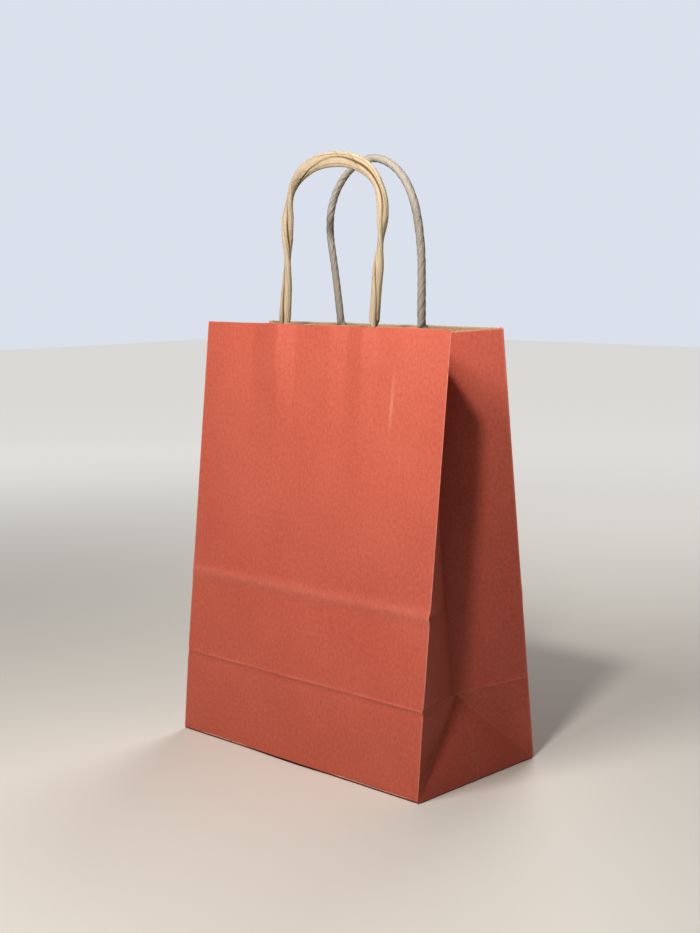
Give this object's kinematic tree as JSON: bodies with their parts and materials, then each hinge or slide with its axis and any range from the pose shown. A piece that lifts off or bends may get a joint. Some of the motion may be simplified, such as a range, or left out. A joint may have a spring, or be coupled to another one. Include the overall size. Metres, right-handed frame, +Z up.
{
  "type": "gift bag",
  "caption": "Upright paper gift bag with a block bottom, gusseted sides and twisted cord handles glued inside the front and back panels; it folds flat over its base.",
  "frame": {"origin": "middle of the base, on the surface the bag stands on", "axes": "+Z up; -Y is the front panel's side, the side the bag folds flat towards; +X and -X are the gusset sides"},
  "size_m": [0.203, 0.108, 0.3699],
  "materials": {
    "printed_kraft": "matt, printed coral red outside over natural kraft",
    "natural_kraft": "matt, unprinted",
    "twisted_cord": "matt twisted paper"
  },
  "bodies": {
    "root": {"base_front_flap": "printed_kraft", "base_back_flap": "printed_kraft", "base_left_ear": "printed_kraft", "base_right_ear": "printed_kraft"},
    "left_triangle": {"left_base_triangle": "printed_kraft"},
    "right_triangle": {"right_base_triangle": "printed_kraft"},
    "front_lower": {"front_lower_panel": "printed_kraft", "left_gusset_corner": "printed_kraft", "right_gusset_corner": "printed_kraft"},
    "front_upper": {"front_upper_panel": "printed_kraft", "front_patch_outer_ply": "natural_kraft", "front_patch_inner_ply": "natural_kraft", "front_handle_legs": "twisted_cord", "left_gusset_front_wall": "printed_kraft", "right_gusset_front_wall": "printed_kraft"},
    "front_handle": {"front_handle": "twisted_cord"},
    "back_panel": {"back_panel": "printed_kraft", "side_seam_lap": "printed_kraft", "back_patch_outer_ply": "natural_kraft", "back_patch_inner_ply": "natural_kraft", "back_handle_legs": "twisted_cord", "left_gusset_back_wall": "printed_kraft", "right_gusset_back_wall": "printed_kraft"},
    "back_handle": {"back_handle": "twisted_cord"}
  },
  "joints": [
    {"name": "back_panel_fold", "type": "hinge", "parent": "root", "child": "back_panel", "pos_m": [0, 0.05387, 0.00172], "axis": [1, 0, 0], "range_deg": [0, 76.4], "deforming": ["left_gusset_back_wall", "right_gusset_back_wall"]},
    {"name": "front_strip_fold", "type": "hinge", "parent": "root", "child": "front_lower", "pos_m": [0, -0.05387, 0.00172], "axis": [-1, 0, 0], "range_deg": [0, 85.5], "deforming": ["left_gusset_corner", "right_gusset_corner"]},
    {"name": "front_panel_fold", "type": "hinge", "parent": "front_lower", "child": "front_upper", "pos_m": [0, -0.05024, 0.0526], "axis": [1, 0, 0], "range_deg": [0, 180], "deforming": ["left_gusset_front_wall", "right_gusset_front_wall"]},
    {"name": "left_triangle_fold", "type": "hinge", "parent": "root", "child": "left_triangle", "pos_m": [-0.10138, 0, 0.00118], "axis": [0, 1, 0], "range_deg": [0, 70]},
    {"name": "right_triangle_fold", "type": "hinge", "parent": "root", "child": "right_triangle", "pos_m": [0.10138, 0, 0.00118], "axis": [0, -1, 0], "range_deg": [0, 70]},
    {"name": "front_handle_swing", "type": "hinge", "parent": "front_upper", "child": "front_handle", "pos_m": [0, -0.02685, 0.27214], "axis": [-1, 0, 0], "range_deg": [-135, 3]},
    {"name": "back_handle_swing", "type": "hinge", "parent": "back_panel", "child": "back_handle", "pos_m": [0, 0.02107, 0.27152], "axis": [-1, 0, 0], "range_deg": [-3, 135]}
  ],
  "couplings": [
    {"joint": "front_strip_fold", "follows": "back_panel_fold", "ratio": 1.1165},
    {"joint": "front_panel_fold", "follows": "back_panel_fold", "ratio": 2.3521},
    {"joint": "left_triangle_fold", "follows": "back_panel_fold", "ratio": 0.9136},
    {"joint": "right_triangle_fold", "follows": "back_panel_fold", "ratio": 0.9136}
  ]
}
